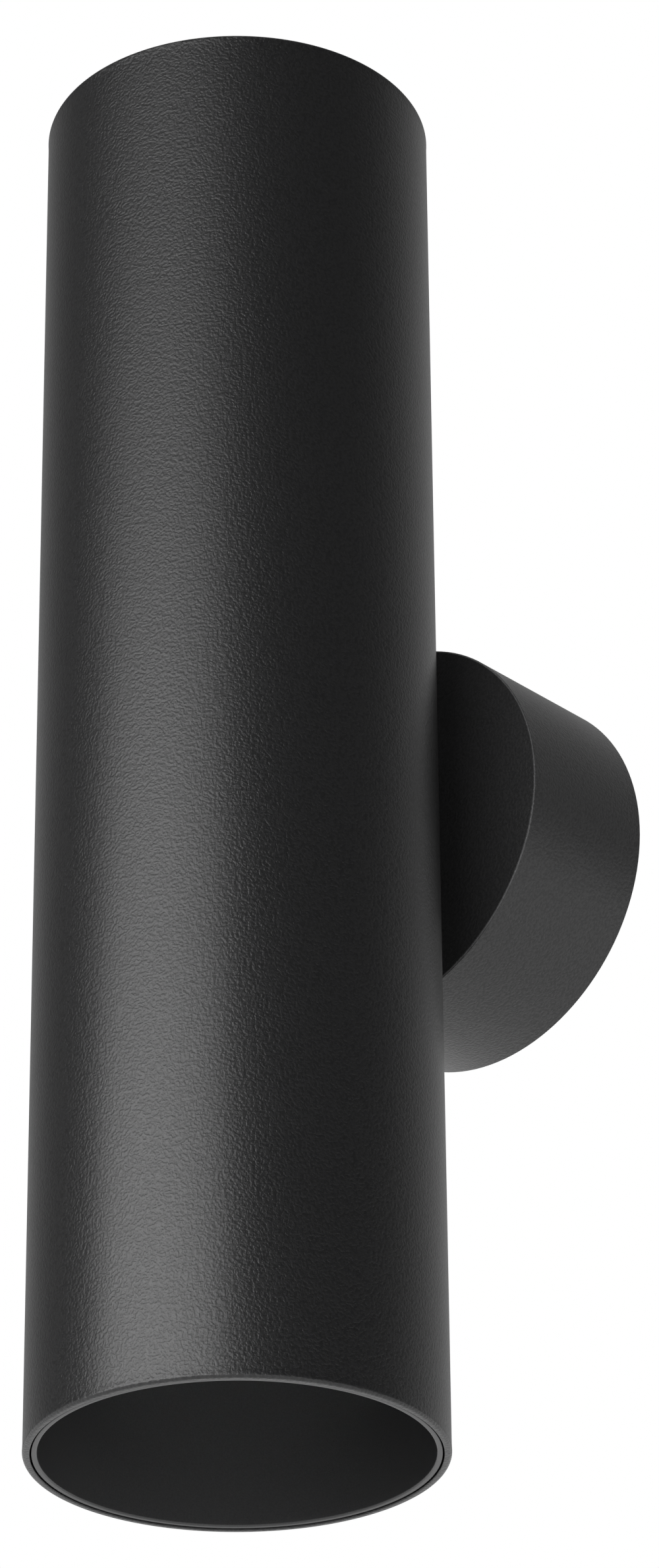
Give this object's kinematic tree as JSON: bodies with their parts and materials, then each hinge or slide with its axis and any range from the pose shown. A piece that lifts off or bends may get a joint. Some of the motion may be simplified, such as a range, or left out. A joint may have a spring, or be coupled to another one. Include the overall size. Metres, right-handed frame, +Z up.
{
  "type": "tube wall light",
  "caption": "Upright round tube, open at both ends, standing off a short round base that fixes it to a wall; it shines up and down.",
  "frame": {"origin": "centre of the wall plate's back face, on the wall plane at the middle of the base", "axes": "+Z up along the tube, +Y out of the back into the wall, so the light stands out towards -Y"},
  "size_m": [0.0604, 0.088, 0.2216],
  "materials": {
    "tube_coat": "matt black fine-textured powder coat on aluminium",
    "base_coat": "matt black fine-textured powder coat on aluminium",
    "sleeve_black": "matt black anodised aluminium",
    "saddle_black": "matt black aluminium",
    "zinc_steel": "zinc-plated pressed steel",
    "fastener_zinc": "bright zinc-plated steel",
    "black_oxide": "black-oxide steel",
    "holder_ceramic": null,
    "brass": "plain brass",
    "lamp_white": "white moulded plastic",
    "lens_frosted": "frosted polycarbonate",
    "board_white": "white-masked aluminium board",
    "block_nylon": "natural nylon",
    "grommet_rubber": "soft black rubber",
    "lead_brown": "brown silicone insulation",
    "lead_blue": "blue silicone insulation",
    "lead_green_yellow": "green and yellow insulation"
  },
  "bodies": {
    "wall_mount": {"wall_plate": "zinc_steel", "cable_grommet": "grommet_rubber"},
    "head": {"base_canopy": "base_coat", "main_tube": "tube_coat", "outer_saddle": "saddle_black", "inner_saddle": "saddle_black", "hollow_nipple": "fastener_zinc", "nipple_nuts": "fastener_zinc", "nipple_washers": "fastener_zinc", "lamp_bracket": "zinc_steel", "upper_lampholder": "holder_ceramic", "lower_lampholder": "holder_ceramic", "upper_holder_contacts": "brass", "lower_holder_contacts": "brass", "holder_screws": "fastener_zinc", "terminal_block": "block_nylon", "terminal_barrels": "brass", "terminal_screws": "fastener_zinc", "block_screws": "fastener_zinc", "earth_tag": "fastener_zinc", "earth_screw": "fastener_zinc", "upper_live_lead": "lead_brown", "upper_neutral_lead": "lead_blue", "lower_live_lead": "lead_brown", "lower_neutral_lead": "lead_blue", "earth_lead": "lead_green_yellow"},
    "upper_sleeve": {"upper_glare_sleeve": "sleeve_black"},
    "lower_sleeve": {"lower_glare_sleeve": "sleeve_black"},
    "upper_lamp": {"upper_lamp_shell": "lamp_white", "upper_lamp_lens": "lens_frosted", "upper_lamp_board": "board_white", "upper_lamp_pins": "brass"},
    "lower_lamp": {"lower_lamp_shell": "lamp_white", "lower_lamp_lens": "lens_frosted", "lower_lamp_board": "board_white", "lower_lamp_pins": "brass"},
    "upper_grub": {"upper_grub_screw": "black_oxide"},
    "lower_grub": {"lower_grub_screw": "black_oxide"}
  },
  "joints": [
    {"name": "head_pull_off", "type": "slide", "parent": "wall_mount", "child": "head", "axis": [0, -1, 0], "range_m": [0, 0.025]},
    {"name": "upper_sleeve_slide", "type": "slide", "parent": "head", "child": "upper_sleeve", "axis": [0, 0, 1], "range_m": [0, 0.028]},
    {"name": "lower_sleeve_slide", "type": "slide", "parent": "head", "child": "lower_sleeve", "axis": [0, 0, -1], "range_m": [0, 0.028]},
    {"name": "upper_lamp_twist", "type": "hinge", "parent": "head", "child": "upper_lamp", "pos_m": [0, -0.058, 0.0324], "axis": [0, 0, 1], "range_deg": [0, 35]},
    {"name": "lower_lamp_twist", "type": "hinge", "parent": "head", "child": "lower_lamp", "pos_m": [0, -0.058, -0.0324], "axis": [0, 0, -1], "range_deg": [0, 35]},
    {"name": "upper_grub_back_off", "type": "slide", "parent": "head", "child": "upper_grub", "axis": [0, 0, 1], "range_m": [0, 0.0012]},
    {"name": "lower_grub_back_off", "type": "slide", "parent": "head", "child": "lower_grub", "axis": [0, 0, -1], "range_m": [0, 0.0012]}
  ]
}
